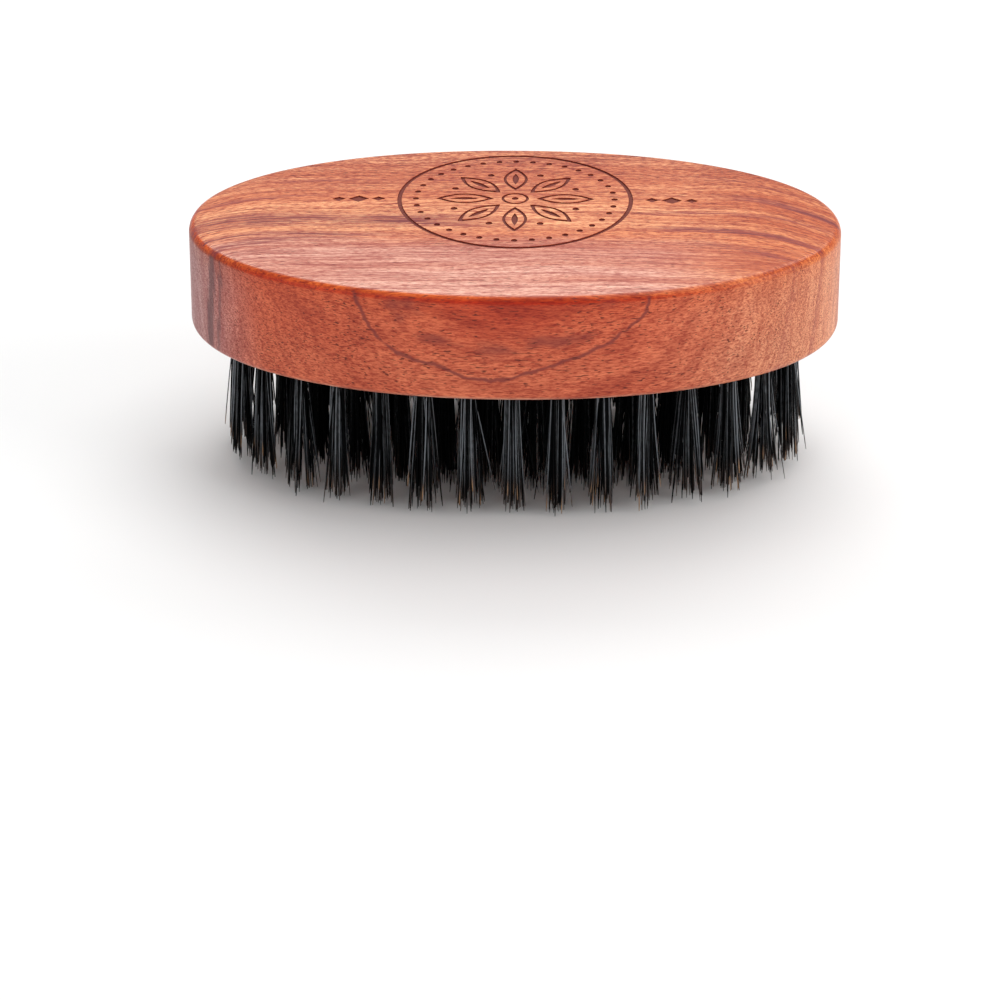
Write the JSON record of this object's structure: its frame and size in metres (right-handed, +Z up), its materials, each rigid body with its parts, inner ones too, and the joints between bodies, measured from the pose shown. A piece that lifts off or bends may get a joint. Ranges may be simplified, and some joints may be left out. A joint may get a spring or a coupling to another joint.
{
  "type": "beard brush",
  "caption": "Oval palm-held beard brush: a one-piece wooden block with softly rounded edges and a gently crowned back, set underneath with rings and rows of short stiff bristle tufts.",
  "frame": {"origin": "centre of the plane that the bristle tips stand on, below the middle of the block", "axes": "+X along the brush's length, +Y across its width towards the far long side, +Z up from the bristle tips through the block to its crowned back"},
  "size_m": [0.111, 0.0622, 0.0442],
  "materials": {
    "oiled_wood": "satin",
    "black_bristle": "satin",
    "anchor_steel": "satin"
  },
  "bodies": {
    "root": {"brush_block": "oiled_wood", "outer_tuft_01": "black_bristle", "outer_tuft_02": "black_bristle", "outer_tuft_03": "black_bristle", "outer_tuft_04": "black_bristle", "outer_tuft_05": "black_bristle", "outer_tuft_06": "black_bristle", "outer_tuft_07": "black_bristle", "outer_tuft_08": "black_bristle", "outer_tuft_09": "black_bristle", "outer_tuft_10": "black_bristle", "outer_tuft_11": "black_bristle", "outer_tuft_12": "black_bristle", "outer_tuft_13": "black_bristle", "outer_tuft_14": "black_bristle", "outer_tuft_15": "black_bristle", "outer_tuft_16": "black_bristle", "outer_tuft_17": "black_bristle", "outer_tuft_18": "black_bristle", "outer_tuft_19": "black_bristle", "outer_tuft_20": "black_bristle", "outer_tuft_21": "black_bristle", "outer_tuft_22": "black_bristle", "outer_tuft_23": "black_bristle", "outer_tuft_24": "black_bristle", "outer_tuft_25": "black_bristle", "outer_tuft_26": "black_bristle", "outer_tuft_27": "black_bristle", "outer_tuft_28": "black_bristle", "outer_tuft_29": "black_bristle", "outer_tuft_30": "black_bristle", "outer_tuft_31": "black_bristle", "middle_tuft_01": "black_bristle", "middle_tuft_02": "black_bristle", "middle_tuft_03": "black_bristle", "middle_tuft_04": "black_bristle", "middle_tuft_05": "black_bristle", "middle_tuft_06": "black_bristle", "middle_tuft_07": "black_bristle", "middle_tuft_08": "black_bristle", "middle_tuft_09": "black_bristle", "middle_tuft_10": "black_bristle", "middle_tuft_11": "black_bristle", "middle_tuft_12": "black_bristle", "middle_tuft_13": "black_bristle", "middle_tuft_14": "black_bristle", "middle_tuft_15": "black_bristle", "middle_tuft_16": "black_bristle", "middle_tuft_17": "black_bristle", "middle_tuft_18": "black_bristle", "middle_tuft_19": "black_bristle", "middle_tuft_20": "black_bristle", "middle_tuft_21": "black_bristle", "middle_tuft_22": "black_bristle", "middle_tuft_23": "black_bristle", "middle_tuft_24": "black_bristle", "front_tuft_row": "black_bristle", "centre_tuft_row": "black_bristle", "back_tuft_row": "black_bristle"}
  },
  "joints": []
}
